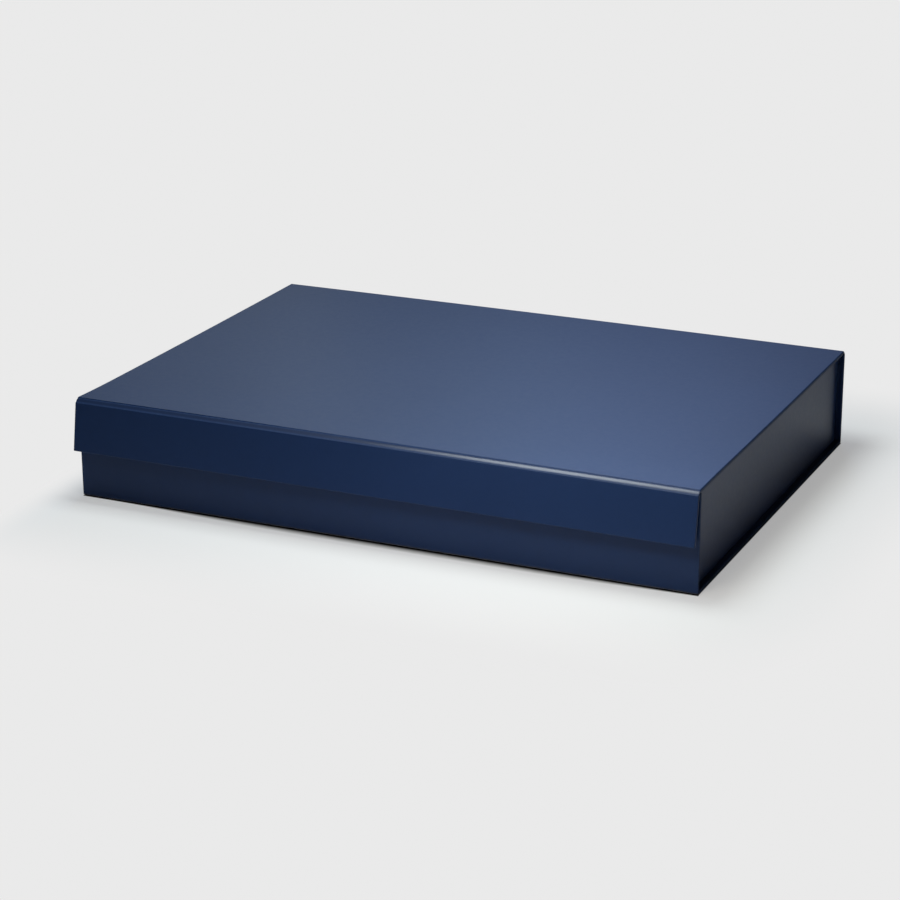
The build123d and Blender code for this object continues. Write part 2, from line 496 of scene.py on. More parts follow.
@dataclass(frozen=True)
class LiningPaper(Finish):
    """Plain uncoated navy paper: felt-like mottling, long fibres and a dry surface."""

    name: str = "navy_lining_paper"
    navy: tuple[float, float, float] = (0.0125, 0.030, 0.082)
    faded: tuple[float, float, float] = (0.0185, 0.041, 0.103)
    roughness: float = 0.72
    index: float = 1.35
    fibre_height: float = 0.03 * MM

    def surface(self, wiring: Wiring) -> Signal:
        """Mottled navy with fibres in relief.

        Args:
            wiring: The material's node tree.

        Returns:
            The shader.
        """
        cloud = wiring.noise(14.0, 3.0, 0.6)
        felt = wiring.noise(700.0, 4.0, 0.7)
        fibres = wiring.noise(1.0, 4.0, 0.65, wiring.stretched((900.0, 220.0, 500.0)))
        crossing = wiring.noise(1.0, 4.0, 0.65, wiring.stretched((240.0, 850.0, 500.0)))
        tone = (cloud * 0.35 + felt * 0.35 + fibres * 0.15 + crossing * 0.15).between(0.36, 0.64)
        rough = self.roughness + (felt - 0.5) * 0.2
        relief = wiring.bump(fibres * 0.5 + crossing * 0.5, self.fibre_height)
        return wiring.coated(
            {
                "Base Color": wiring.mix(tone, self.navy, self.faded),
                "Roughness": rough,
                "IOR": self.index,
                "Normal": wiring.bump(felt, self.fibre_height / 2, relief),
            }
        )


@dataclass(frozen=True)
class RecycledBoard(Finish):
    """Grey board of recycled paper: warm grey pulp with pale fibres and dark flecks."""

    name: str = "recycled_greyboard"
    pulp: tuple[float, float, float] = (0.235, 0.215, 0.19)
    pale: tuple[float, float, float] = (0.36, 0.335, 0.30)
    fleck: tuple[float, float, float] = (0.07, 0.065, 0.07)
    roughness: float = 0.88
    index: float = 1.4

    def surface(self, wiring: Wiring) -> Signal:
        """Pulp with long fibres, flecks and a coarse tooth.

        Args:
            wiring: The material's node tree.

        Returns:
            The shader.
        """
        pulp = wiring.noise(60.0, 5.0, 0.7)
        fibres = wiring.noise(1.0, 5.0, 0.7, wiring.stretched((260.0, 900.0, 900.0)))
        flecks = wiring.noise(620.0, 2.0, 0.5).between(0.66, 0.72)
        body = wiring.mix((pulp * 0.5 + fibres * 0.5).between(0.35, 0.65), self.pulp, self.pale)
        return wiring.coated(
            {
                "Base Color": wiring.mix(flecks * 0.7, body, self.fleck),
                "Roughness": self.roughness + (pulp - 0.5) * 0.12,
                "IOR": self.index,
                "Normal": wiring.bump(fibres, 0.05 * MM),
            }
        )


@dataclass(frozen=True)
class PlatedMetal(Finish):
    """A small turned or tumbled metal disc: its plate, a faint bloom and fine scratches."""

    name: str = "bright_nickel"
    bright: tuple[float, float, float] = (0.72, 0.70, 0.65)
    dull: tuple[float, float, float] = (0.52, 0.50, 0.46)
    roughness: float = 0.24
    scratch_height: float = 0.004 * MM

    def surface(self, wiring: Wiring) -> Signal:
        """Metal with blooms in its roughness and crossing scratches.

        Args:
            wiring: The material's node tree.

        Returns:
            The shader.
        """
        bloom = wiring.noise(150.0, 3.0, 0.6)
        scratches = wiring.noise(1.0, 3.0, 0.7, wiring.stretched((300.0, 2600.0, 2600.0)))
        return wiring.coated(
            {
                "Base Color": wiring.mix(bloom.between(0.35, 0.7), self.bright, self.dull),
                "Metallic": 1.0,
                "Roughness": self.roughness + (bloom - 0.5) * 0.2 + (scratches - 0.5) * 0.08,
                "Normal": wiring.bump(scratches, self.scratch_height),
            }
        )


@dataclass(frozen=True)
class MilkyTape(Finish):
    """Double-sided tape: a milky adhesive film with small trapped bubbles."""

    name: str = "milky_tape"
    film: tuple[float, float, float] = (0.66, 0.64, 0.57)
    bubble: tuple[float, float, float] = (0.82, 0.81, 0.77)
    roughness: float = 0.36
    index: float = 1.47

    def surface(self, wiring: Wiring) -> Signal:
        """Film and bubbles, raised a little.

        Args:
            wiring: The material's node tree.

        Returns:
            The shader.
        """
        bubbles = wiring.noise(900.0, 1.0, 0.4).between(0.6, 0.7)
        ripple = wiring.noise(120.0, 2.0, 0.5)
        return wiring.coated(
            {
                "Base Color": wiring.mix(bubbles, self.film, self.bubble),
                "Roughness": self.roughness + (ripple - 0.5) * 0.15,
                "IOR": self.index,
                "Normal": wiring.bump(bubbles * 0.5 + ripple, 0.02 * MM),
            }
        )


@dataclass(frozen=True)
class PaleSweep(Finish):
    """The studio's matt paper sweep.

    The box is lit by, and mirrors, plain lit paper. The camera sees that paper raised near the box, so that its shadows
    stay soft, with a painted contact shadow, black, under the box and in a line round it, and an even pale backdrop
    farther away.

    The painted contact shadow has a set width all round, with a wider one added in front of the middle of the front
    edge that eases off from there along the front. The raised paper passes into the backdrop over fade, sooner at the
    two ends by the quick factors.
    """

    name: str = "pale_sweep"
    pale: tuple[float, float, float] = (0.80, 0.80, 0.795)
    shade: tuple[float, float, float] = (0.77, 0.77, 0.77)
    lit_share: tuple[float, float, float] = (0.43, 0.45, 0.455)
    raised: float = 0.37
    # Painted contact shadow: its width all round, the extra width in front, where that extra is centred, and the band
    # behind the front face over which it starts.
    contact_shadow_width: float = 0.5 * MM
    front_shadow_width: float = 7.0 * MM
    front_shadow_middle: float = 20.0 * MM
    front_shadow_band: float = 2.0 * MM
    fade: tuple[float, float] = (0.01, 0.14)
    quick_left: float = 4.0
    quick_right: float = 1.35
    footprint: tuple[float, float] = (SIZES.half_length, SIZES.tray_depth / 2)
    middle: tuple[float, float] = (0.0, SIZES.y_middle)
    roughness: float = 0.9
    index: float = 1.2

    def surface(self, wiring: Wiring) -> Signal:
        """Lit paper for the box's own light, and for the camera the raised sheet with its painted contact shadow.

        Args:
            wiring: The material's node tree.

        Returns:
            The shader.
        """
        cloud = wiring.noise(2.5, 2.0, 0.5)
        paper = wiring.coated(
            {
                "Base Color": wiring.mix(cloud, self.shade, self.pale),
                "Roughness": self.roughness,
                "IOR": self.index,
                "Normal": wiring.bump(wiring.noise(300.0, 2.0, 0.5), 0.02 * MM),
            }
        )
        place = wiring.node("ShaderNodeSeparateXYZ", {}, {"Vector": wiring.place()})
        x, y = (Signal(wiring, place.socket.node.outputs[axis]) - middle for axis, middle in zip("XY", self.middle))
        right = wiring.larger((x - self.footprint[0]) * self.quick_right, (x + self.footprint[0]) * -self.quick_left)
        back = wiring.larger(y - self.footprint[1], (y + self.footprint[1]) * -1.0)
        away = (wiring.larger(right, 0.0) ** 2 + wiring.larger(back, 0.0) ** 2) ** 0.5
        seen_paper = wiring.node("ShaderNodeBsdfDiffuse", {}, {"Color": (*self.lit_share, 1.0)})
        raised = wiring.node("ShaderNodeAddShader", {}, {0: seen_paper, 1: wiring.glow("Emission", self.raised)})
        # Painted contact shadow: black under the box and in a line round it, widened in front of the middle of the
        # front edge.
        along = (x - self.front_shadow_middle) * (1.0 / SIZES.half_length)
        before = y.between(-self.footprint[1], self.front_shadow_band - self.footprint[1], 1.0, 0.0)
        reach = (1.0 - along**2).between(0.0, 1.0) * before * self.front_shadow_width + self.contact_shadow_width
        out_of_painted_shadow = wiring.node("ShaderNodeMath", {"operation": "DIVIDE", "use_clamp": True}, {0: away, 1: reach})
        near = wiring.crossed(out_of_painted_shadow, None, raised)
        seen_sheet = wiring.crossed(away.between(*self.fade), near, wiring.glow("Emission", BACKDROP))
        return wiring.crossed(wiring.seen(), paper, seen_sheet)


OUTER_PAPER = FilmedPaper()
INNER_PAPER = LiningPaper()
GREYBOARD = RecycledBoard()
NICKEL = PlatedMetal()
ZINC = PlatedMetal(
    name="dull_zinc", bright=(0.50, 0.51, 0.53), dull=(0.36, 0.37, 0.39), roughness=0.4, scratch_height=0.008 * MM
)
TAPE = MilkyTape()


class Slot(Enum):
    """The record's material slots, each with the finish that dresses it here."""

    OUTER_PAPER = ("outer_paper", OUTER_PAPER)
    INNER_PAPER = ("inner_paper", INNER_PAPER)
    GREYBOARD = ("greyboard", GREYBOARD)
    MAGNET = ("magnet", NICKEL)
    STEEL_DISC = ("steel_disc", ZINC)
    ADHESIVE_TAPE = ("adhesive_tape", TAPE)


# Sheets of paper as surfaces


def grid_quads(rows: int, columns: int) -> np.ndarray:
    """The faces of a grid of rows by columns of points, numbered row by row.

    Args:
        rows: Points one way.
        columns: Points the other way.

    Returns:
        Four point numbers for each face.
    """
    corner = (np.arange(rows - 1)[:, None] * columns + np.arange(columns - 1)[None, :]).ravel()
    return np.stack([corner, corner + 1, corner + columns + 1, corner + columns], axis=1)


def ruled(start: float, stop: float, spacing: float = 10.0 * MM, support: float = SUPPORT) -> np.ndarray:
    """Evenly spaced grid lines, with one more close inside each end so that a face shades flat up to its fold.

    Args:
        start: First line.
        stop: Last line.
        spacing: About how far apart the lines between are.
        support: How far in the close lines are.

    Returns:
        The lines' places.
    """
    count = max(2, round((stop - start) / spacing) + 1)
    return np.concatenate([[start], np.linspace(start + support, stop - support, count), [stop]])


def smooth_step(value: np.ndarray, low: float, high: float) -> np.ndarray:
    """0 below low, 1 above high, and 3t^2 - 2t^3 between."""
    t = np.clip((value - low) / (high - low), 0, 1)
    return t * t * (3 - 2 * t)


STEP = (-0.3 * MM, 1.5 * MM)  # A paper starts and ends its way down a step, measured past the step's edge.
STEP_LINES = np.linspace(-1, 2, 7) * MM  # Grid lines that follow it.


def stepped_down(past: np.ndarray) -> np.ndarray:
    """How far a paper has come down, from 0 to 1, at these distances past the edge of what lies under it."""
    return smooth_step(past, *STEP)


@dataclass
class Sheet:
    """A sheet of paper: its printed side, its glued side point for point, and how much of a fold each point is."""

    printed: np.ndarray
    glued: np.ndarray
    quads: np.ndarray
    fold: np.ndarray

    @classmethod
    def from_grid(cls, printed: np.ndarray, glued: np.ndarray, fold: np.ndarray | float = 0.0) -> "Sheet":
        """A sheet from two grids of points.

        Args:
            printed: Rows by columns by 3.
            glued: The same for the other side.
            fold: Rows by columns, or one number for all.

        Returns:
            The sheet.
        """
        rows, columns = printed.shape[:2]
        marks = np.broadcast_to(fold, (rows, columns)).ravel()
        return cls(printed.reshape(-1, 3), glued.reshape(-1, 3), grid_quads(rows, columns), marks)

    @classmethod
    def joined(cls, sheets: Iterable["Sheet"]) -> "Sheet":
        """Sheets cut from one piece of paper, joined where their printed sides meet.

        Args:
            sheets: The sheets.

        Returns:
            One sheet.
        """
        parts = list(sheets)
        starts = np.cumsum([0] + [len(part.printed) for part in parts[:-1]])
        printed = np.concatenate([part.printed for part in parts])
        glued = np.concatenate([part.glued for part in parts])
        fold = np.concatenate([part.fold for part in parts])
        quads = np.concatenate([part.quads + start for part, start in zip(parts, starts)])
        keys = np.floor(printed / WELD + KEY_SHIFT).astype(np.int64)
        _, first, number = np.unique(keys, axis=0, return_index=True, return_inverse=True)
        return cls(printed[first], glued[first], number.reshape(-1)[quads], fold[first])

    def shell(self) -> tuple[np.ndarray, list[list[int]], np.ndarray]:
        """The closed solid of the sheet: both sides, and a rim along every edge that only one face has.

        Returns:
            Points, faces and fold marks.
        """
        count = len(self.printed)
        edges = self.quads[:, [0, 1, 1, 2, 2, 3, 3, 0]].reshape(-1, 2)
        edges = edges[edges[:, 0] != edges[:, 1]]
        _, inverse, uses = np.unique(np.sort(edges, axis=1), axis=0, return_inverse=True, return_counts=True)
        open_edges = edges[uses[inverse.reshape(-1)] == 1]
        rim = np.column_stack([open_edges[:, ::-1], open_edges + count])
        faces = np.concatenate([self.quads, self.quads[:, ::-1] + count, rim])
        return (
            np.concatenate([self.printed, self.glued]),
            self._without_repeats(faces),
            np.concatenate([self.fold, self.fold]),
        )

    @staticmethod
    def _without_repeats(quads: np.ndarray) -> list[list[int]]:
        """Makes triangles of quads with two corners in one place, and drops those with fewer corners.

        Args:
            quads: Four point numbers for each face.

        Returns:
            The faces' point numbers.
        """
        same = quads == np.roll(quads, -1, axis=1)
        opposite = (quads[:, 0] == quads[:, 2]) | (quads[:, 1] == quads[:, 3])
        whole = quads[~same.any(axis=1) & ~opposite]
        single = (same.sum(axis=1) == 1) & ~opposite
        triangles = [quads[single & same[:, k]][:, [j for j in range(4) if j != k]] for k in range(4)]
        return whole.tolist() + np.concatenate(triangles).tolist()


def lay_on_mesh(name: str, points: np.ndarray, faces: list[list[int]], fold: np.ndarray) -> bpy.types.Mesh:
    """Makes a closed mesh with its faces outwards, smooth but for its sharp edges.

    Args:
        name: The mesh's name.
        points: Places at rest, before the bow.
        faces: Point numbers.
        fold: Fold mark of each point.

    Returns:
        The mesh.
    """
    mesh = bpy.data.meshes.new(name)
    mesh.from_pydata(BOW.bent(points).tolist(), [], faces)
    mesh.attributes.new("fold", "FLOAT", "POINT").data.foreach_set("value", fold.astype(np.float32))
    work = bmesh.new()
    work.from_mesh(mesh)
    bmesh.ops.remove_doubles(work, verts=work.verts, dist=WELD)
    bmesh.ops.recalc_face_normals(work, faces=work.faces)
    open_edges = sum(1 for edge in work.edges if len(edge.link_faces) != 2)
    work.to_mesh(mesh)
    work.free()
    if open_edges:
        log.warning("%s has %d edges without two faces", name, open_edges)
    mesh.shade_smooth()
    mesh.set_sharp_from_angle(angle=SHARP_ANGLE)
    return mesh


@dataclass(frozen=True)
class Crossing:
    """Where a paper bends from one body to the next: the two bodies, and the first and last line of the bend."""

    bodies: tuple[str, str]
    start: tuple[float, float]
    end: tuple[float, float]


def publish(
    name: str, mesh: bpy.types.Mesh, slot: Slot, nodes: Sequence[str], rides: str | Crossing
) -> bpy.types.Object:
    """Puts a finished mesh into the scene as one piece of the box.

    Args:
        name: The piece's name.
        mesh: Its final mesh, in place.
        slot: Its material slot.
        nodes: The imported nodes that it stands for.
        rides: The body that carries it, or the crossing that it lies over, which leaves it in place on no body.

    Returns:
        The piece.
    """
    piece = bpy.data.objects.new(name, mesh)
    bpy.context.scene.collection.objects.link(piece)
    slot_name, finish = slot.value
    mesh.materials.clear()
    mesh.materials.append(finish.material())
    if isinstance(rides, Crossing):
        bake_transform(piece)
    else:
        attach(piece, rides)
    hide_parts(*nodes)
    log.info("%s: %d faces, stands for %s", name, len(mesh.polygons), ", ".join(nodes))
    return piece


def publish_sheet(name: str, sheet: Sheet, slot: Slot, nodes: Sequence[str], rides: str | Crossing) -> bpy.types.Object:
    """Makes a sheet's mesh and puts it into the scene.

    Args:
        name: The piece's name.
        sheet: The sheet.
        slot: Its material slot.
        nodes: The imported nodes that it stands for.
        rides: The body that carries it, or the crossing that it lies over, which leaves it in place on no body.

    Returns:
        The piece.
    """
    return publish(name, lay_on_mesh(name, *sheet.shell()), slot, nodes, rides)


@dataclass(frozen=True)
class FoldedEdge:
    """Paper taken round a board's edge: a quarter round, the edge, a quarter round back and the turned-in strip.

    A round takes up no more than most_of_edge of the thickness, and wear is the fold mark of the edge itself.
    """

    radius: float = 0.6 * MM
    most_of_edge: float = 0.49
    wear: float = 0.25
    steps: int = 5
    strip_lines: tuple[float, ...] = (0.02, 0.2, 0.4, 0.6, 0.8, 1.0)

    def profile(self, thickness: np.ndarray) -> tuple[np.ndarray, ...]:
        """The paper's section for boards of these thicknesses.

        With angle t from 0 to 90 degrees and radius r, the first quarter round is at inset r(1 - sin t) and depth
        r(1 - cos t), and the second at inset r(1 - cos t) and depth T - r + r sin t. The strip runs on at depth T.
        The fold mark is wear times sin t + sin 2t on the first, 1 on the edge and 1 + sin 2t - sin t on the second.

        Args:
            thickness: One T for each row, from the printed face to the printed side of the strip.

        Returns:
            Inset, depth, the outward direction's inset and depth, and the fold mark, all rows by points.
        """
        t_full = np.asarray(thickness, float).reshape(-1, 1)
        r = np.minimum(self.radius, self.most_of_edge * t_full)
        t = np.linspace(0, pi / 2, self.steps + 1)[None, :]
        one = np.ones_like(t_full)
        strip = np.array(self.strip_lines)[None, :]
        inset = [r * (1 - np.sin(t)), 0 * one, r * (1 - np.cos(t)), r + (SIZES.turn_in - r) * strip]
        depth = [r * (1 - np.cos(t)), t_full / 2, t_full - r + r * np.sin(t), t_full + 0 * strip]
        out_inset = [-np.sin(t) * one, -one, -np.cos(t) * one, 0 * strip * one]
        out_depth = [-np.cos(t) * one, 0 * one, np.sin(t) * one, one + 0 * strip]
        rounds = np.sin(2 * t)
        mark = [rounds + np.sin(t), np.ones((1, 1)), 1 + rounds - np.sin(t), 0 * strip]
        mark = [self.wear * part * one for part in mark]
        return tuple(np.concatenate(columns, axis=1) for columns in (inset, depth, out_inset, out_depth, mark))


EDGE = FoldedEdge()


class FreeEdge(Enum):
    """Which edge across a panel ends in the open, if one does."""

    NONE = 0
    LOW = 1
    HIGH = -1


@dataclass(frozen=True)
class Panel:
    """A stiff panel of the case.

    A point is given by a, along the box, b, across the panel, and its depth behind the outer face.
    """

    name: str
    body: str
    origin: tuple[float, float]
    across: tuple[float, float]
    inward: tuple[float, float]
    low: float
    high: float
    free: FreeEdge = FreeEdge.NONE

    def place(self, a: np.ndarray, b: np.ndarray, depth: np.ndarray) -> np.ndarray:
        """Origin + b * across + depth * inward, in Y and Z, with a as X.

        Args:
            a: Places along the box.
            b: Places across the panel.
            depth: Depths behind the outer face.

        Returns:
            Points, one more axis of 3 than the broadcast arguments.
        """
        a, b, depth = np.broadcast_arrays(a, b, depth)
        y = self.origin[0] + b * self.across[0] + depth * self.inward[0]
        z = self.origin[1] + b * self.across[1] + depth * self.inward[1]
        return np.stack([a, y, z], axis=-1)

    def edge_line(self, b: float) -> tuple[float, float]:
        """Y and Z of the outer face's line at b."""
        return tuple(self.place(0.0, b, 0.0)[1:].tolist())

    def outer_paper(self) -> Sheet:
        """The outer paper: the face, and the strips folded round the ends and round the free edge.

        Returns:
            The sheet.
        """
        length, wrap, r = SIZES.half_length, SIZES.wrap, EDGE.radius
        sign = -1.0 if self.free is FreeEdge.HIGH else 1.0
        low, high = sorted((sign * self.low, sign * self.high))
        has_free = self.free is not FreeEdge.NONE
        a = ruled(r - length, length - r)
        b = ruled(low + (r if has_free else 0.0), high)

        def at(a_at: np.ndarray, b_at: np.ndarray, depth: np.ndarray) -> np.ndarray:
            """Place with b turned over where the free edge is the high one."""
            return self.place(a_at, sign * b_at, depth)

        face = Sheet.from_grid(at(a[None, :], b[:, None], 0.0), at(a[None, :], b[:, None], wrap))
        inset, depth, out_inset, out_depth, mark = (row[0] for row in EDGE.profile(np.array([SIZES.turn_back])))
        sides = []
        for layer in (0.0, wrap):
            d = (inset - layer * out_inset)[:, None]
            h = (depth - layer * out_depth)[:, None]
            sides.append((d, h))
        if not has_free:
            ends = [
                Sheet.from_grid(
                    *(at(side * (length - d), b[None, :], h) for d, h in sides), mark[:, None] + 0 * b[None, :]
                )
                for side in (-1, 1)
            ]
            return Sheet.joined([face, *ends])
        rings = [at(*self._round_three_sides(a, b, low, high, d), h) for d, h in sides]
        return Sheet.joined([face, Sheet.from_grid(*rings, mark[:, None] + np.zeros(rings[0].shape[:2]))])

    @staticmethod
    def _round_three_sides(
        a: np.ndarray, b: np.ndarray, low: float, high: float, inset: np.ndarray
    ) -> tuple[np.ndarray, np.ndarray]:
        """Lines down one end, along the free edge and up the other end, each set in from the panel's outline.

        A line that is set in by less than the fold's radius r turns the corner on an arc of radius r - inset. One
        that is set in further turns it square.

        Args:
            a: The face's lines along the box.
            b: The face's lines across the panel.
            low: The free edge.
            high: The creased edge.
            inset: One inset for each line, as a column.

        Returns:
            Places along and across, lines by points.
        """
        length, r = SIZES.half_length, EDGE.radius
        start = np.maximum(inset, r)
        arc = np.maximum(r - inset, 0.0)
        leg = high - (high - b[None, :]) * (high - low - start) / (high - low - r)
        t = np.linspace(0, pi / 2, EDGE.steps + 1)[None, :]
        run = a[None, :] * (length - start) / (length - r)
        down = np.broadcast_to(inset - length, leg.shape)
        along_a = [down, start - length - arc * np.cos(t), run, length - start + arc * np.sin(t), -down]
        turned = low + start
        along_b = [leg[:, ::-1], turned - arc * np.sin(t), low + inset + 0 * run, turned - arc * np.cos(t), leg]
        return np.concatenate(along_a, axis=1), np.concatenate(along_b, axis=1)

    def liner(self, half_width: float, low: float, high: float, depth: float, sink: float, strips: bool) -> Sheet:
        """An inner paper, which sinks a little where no turned-in paper lies under it.

        Args:
            half_width: Half its length along the box.
            low: Its first edge across the panel.
            high: Its last edge.
            depth: Depth of its glued side.
            sink: How far its middle sinks.
            strips: Whether crease papers lie under its creased edges.

        Returns:
            The sheet.
        """
        bare = SIZES.half_length - SIZES.turn_in
        a = np.unique(
            np.concatenate([ruled(-half_width, half_width), *(side * (bare - STEP_LINES) for side in (-1, 1))])
        )
        b_lines = [ruled(low, high)]
        steps = []
        if self.free is not FreeEdge.LOW and strips:
            steps.append((self.low + SIZES.crease_strip, 1))
        if self.free is not FreeEdge.HIGH and strips:
            steps.append((self.high - SIZES.crease_strip, -1))
        if self.free is FreeEdge.LOW:
            steps.append((self.low + SIZES.turn_in, 1))
        if self.free is FreeEdge.HIGH:
            steps.append((self.high - SIZES.turn_in, -1))
        b_lines += [edge + side * STEP_LINES for edge, side in steps]
        b = np.unique(np.concatenate(b_lines))
        b = b[(b >= low) & (b <= high)]
        a = a[(a >= -half_width) & (a <= half_width)]
        sunk = np.ones((len(b), 1)) * stepped_down(bare - np.abs(a))[None, :]
        for edge, side in steps:
            sunk = sunk * stepped_down(side * (b - edge))[:, None]
        back = depth - sink * sunk
        return Sheet.from_grid(
            self.place(a[None, :], b[:, None], back + SIZES.liner), self.place(a[None, :], b[:, None], back)
        )


@dataclass(frozen=True)
class Crease:
    """The paper that bridges the gap between two panels' edges at a fold.

    Its section runs from the first panel's edge to the second's. Its outer line is the chord between them plus a
    bulge * sin(pi t), less a nip * (t / t0)^2 * exp(2 - 2t / t0), which peaks at t0. Along the box the nip changes over
    nip_fade from its full depth at the left to nip_right of it. The turned-in paper lies at
    T = T0 + (T1 - T0) * |2t - 1|^p behind that line, so that it dips into the groove between the boards.
    """

    first: Panel
    first_edge: float
    second: Panel
    second_edge: float
    bulge: float = 0.2 * MM
    nip: float = 0.3 * MM
    nip_place: float = 0.09
    nip_fade: tuple[float, float] = (-0.11, 0.02)
    nip_right: float = 1.0
    dip_power: float = 2.5
    air: float = 0.02 * MM
    lines: int = 25
    crowding: float = 0.11
    strip_spacing: float = 4.0 * MM

    def stations(self) -> np.ndarray:
        """Places across the crease, closer together at both edges."""
        t = np.linspace(0, 1, self.lines)
        return t - self.crowding * np.sin(2 * pi * t)

    def outline(self, t: np.ndarray) -> tuple[np.ndarray, np.ndarray]:
        """The outer line and the direction into the box.

        Args:
            t: Stations from 0 to 1.

        Returns:
            Y and Z of the line's points, and of the directions.
        """
        start = np.array(self.first.edge_line(self.first_edge))
        end = np.array(self.second.edge_line(self.second_edge))
        chord = end - start
        into = np.array([-chord[1], chord[0]]) / np.linalg.norm(chord)
        first_in, second_in = np.array(self.first.inward), np.array(self.second.inward)
        if into @ (first_in + second_in) < 0:
            into = -into
        line = start + t[:, None] * chord - self.bulge * np.sin(pi * t)[:, None] * into
        from_first = np.clip(2 * t, 0, 1)[:, None]
        from_second = np.clip(2 - 2 * t, 0, 1)[:, None]
        direction = np.where(
            t[:, None] < 0.5,
            first_in * (1 - from_first) + into * from_first,
            second_in * (1 - from_second) + into * from_second,
        )
        return line, direction / np.linalg.norm(direction, axis=1, keepdims=True)

    def _nipped(self, a: np.ndarray) -> np.ndarray:
        """How far the nip presses the paper in at a along the box, stations by points."""
        t = self.stations()[:, None] / self.nip_place
        return self.nip * t**2 * np.exp(2 - 2 * t) * (1 - (1 - self.nip_right) * smooth_step(a, *self.nip_fade))

    def _at(self, a: np.ndarray, depth: np.ndarray, line: np.ndarray, into: np.ndarray) -> np.ndarray:
        """Points at each station of the crease.

        Args:
            a: Places along the box.
            depth: Depths behind the outer line.
            line: The outer line's points.
            into: The directions into the box.

        Returns:
            Points, stations by places along the box.
        """
        a, depth = np.broadcast_arrays(a, depth + self._nipped(a))
        places = line[:, None, :] + depth[..., None] * into[:, None, :]
        return np.concatenate([a[..., None], places], axis=-1)

    def _behind(self, t: np.ndarray, shallow: float, deep: float) -> np.ndarray:
        """Depth of a layer behind the outer line: shallow in the groove, deep over the boards."""
        return shallow + (deep - shallow) * np.abs(2 * t - 1) ** self.dip_power

    def outer_paper(self) -> Sheet:
        """The bridge and its turned-in ends.

        Returns:
            The sheet.
        """
        t = self.stations()
        line, into = self.outline(t)
        length, wrap, r = SIZES.half_length, SIZES.wrap, EDGE.radius
        # The mark peaks at 1 mid-crease, where the film gets a glossier coat and painted shade; lower marks near the
        # ends give rubbed wear.
        worn = np.sin(pi * t)
        thickness = self._behind(t, 2 * wrap + self.air, SIZES.turn_back)
        inset, depth, out_inset, out_depth, mark = EDGE.profile(thickness)
        face_half = length - inset[:, :1]
        a = ruled(r - length, length - r)[None, :] / (length - r) * face_half
        across = Sheet.from_grid(
            self._at(a, np.zeros_like(a), line, into), self._at(a, np.full_like(a, wrap), line, into), worn[:, None]
        )
        ends = [
            Sheet.from_grid(
                *(
                    self._at(side * (length - inset + layer * out_inset), depth - layer * out_depth, line, into)
                    for layer in (0.0, wrap)
                ),
                np.maximum(mark, worn[:, None] * (inset < 2 * r)),
            )
            for side in (-1, 1)
        ]
        return Sheet.joined([across, *ends])

    def inner_paper(self) -> Sheet:
        """The inner crease paper: two flat strips on the boards and the trough between them.

        Returns:
            The sheet.
        """
        t = self.stations()
        line, into = self.outline(t)
        half = SIZES.half_length - SIZES.turn_in
        a = ruled(-half, half)[None, :]
        behind = self._behind(t, SIZES.wrap, SIZES.board_back)[:, None]
        trough = [self._at(a, behind + layer, line, into) for layer in (SIZES.liner, 0.0)]
        rows = []
        for panel, edge in ((self.first, self.first_edge), (self.second, self.second_edge)):
            away = 1.0 if abs(edge - panel.low) < abs(edge - panel.high) else -1.0
            b = edge + away * ruled(0.0, SIZES.crease_strip, self.strip_spacing)[:, None]
            rows.append([panel.place(a, b, SIZES.board_back + layer) for layer in (SIZES.liner, 0.0)])
        return Sheet.joined([Sheet.from_grid(*grid) for grid in (rows[0], trough, rows[1])])

    def crossing(self, bodies: tuple[str, str]) -> Crossing:
        """The bend from the first board's edge to the second's, at their inner faces.

        Args:
            bodies: The first and the second panel's body.

        Returns:
            The crossing.
        """
        ends = [
            tuple(panel.place(0.0, edge, SIZES.board_back)[1:].tolist())
            for panel, edge in ((self.first, self.first_edge), (self.second, self.second_edge))
        ]
        return Crossing(bodies, *ends)


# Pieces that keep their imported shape


@dataclass(frozen=True)
class CarriedPiece:
    """A board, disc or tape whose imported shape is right: a copy of it, cut finely enough to bend with the papers."""

    name: str
    node: str
    slot: Slot
    body: str
    cut_every: float = 20.0 * MM
    weld: float = 0.001 * MM
    flat_angle: float = radians(0.5)
    eased: float = 0.25 * MM
    eased_angle: float = radians(50)
    eased_steps: int = 2

    def build(self) -> bpy.types.Object:
        """Copies, merges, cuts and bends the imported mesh, and eases its edges.

        Returns:
            The piece.
        """
        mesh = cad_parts[self.node].data.copy()
        mesh.name = self.name
        work = bmesh.new()
        work.from_mesh(mesh)
        bmesh.ops.remove_doubles(work, verts=work.verts, dist=self.weld)
        bmesh.ops.dissolve_limit(work, angle_limit=self.flat_angle, verts=work.verts, edges=work.edges)
        low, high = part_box(self.node)
        for axis in range(3):
            normal = [0.0, 0.0, 0.0]
            normal[axis] = 1.0
            for place in np.arange(low[axis] + self.cut_every, high[axis] - self.cut_every / 2, self.cut_every):
                whole = work.verts[:] + work.edges[:] + work.faces[:]
                bmesh.ops.bisect_plane(work, geom=whole, plane_co=[place] * 3, plane_no=normal)
        work.to_mesh(mesh)
        work.free()
        points = np.empty(len(mesh.vertices) * 3, np.float32)
        mesh.vertices.foreach_get("co", points)
        mesh.vertices.foreach_set("co", BOW.bent(points.reshape(-1, 3)).astype(np.float32).ravel())
        mesh.shade_smooth()
        mesh.set_sharp_from_angle(angle=SHARP_ANGLE)
        piece = publish(self.name, mesh, self.slot, [self.node], self.body)
        if self.eased:
            bevel = piece.modifiers.new("eased_edges", "BEVEL")
            bevel.width = self.eased
            bevel.segments = self.eased_steps
            bevel.limit_method = "ANGLE"
            bevel.angle_limit = self.eased_angle
        return piece


# Sub-assemblies


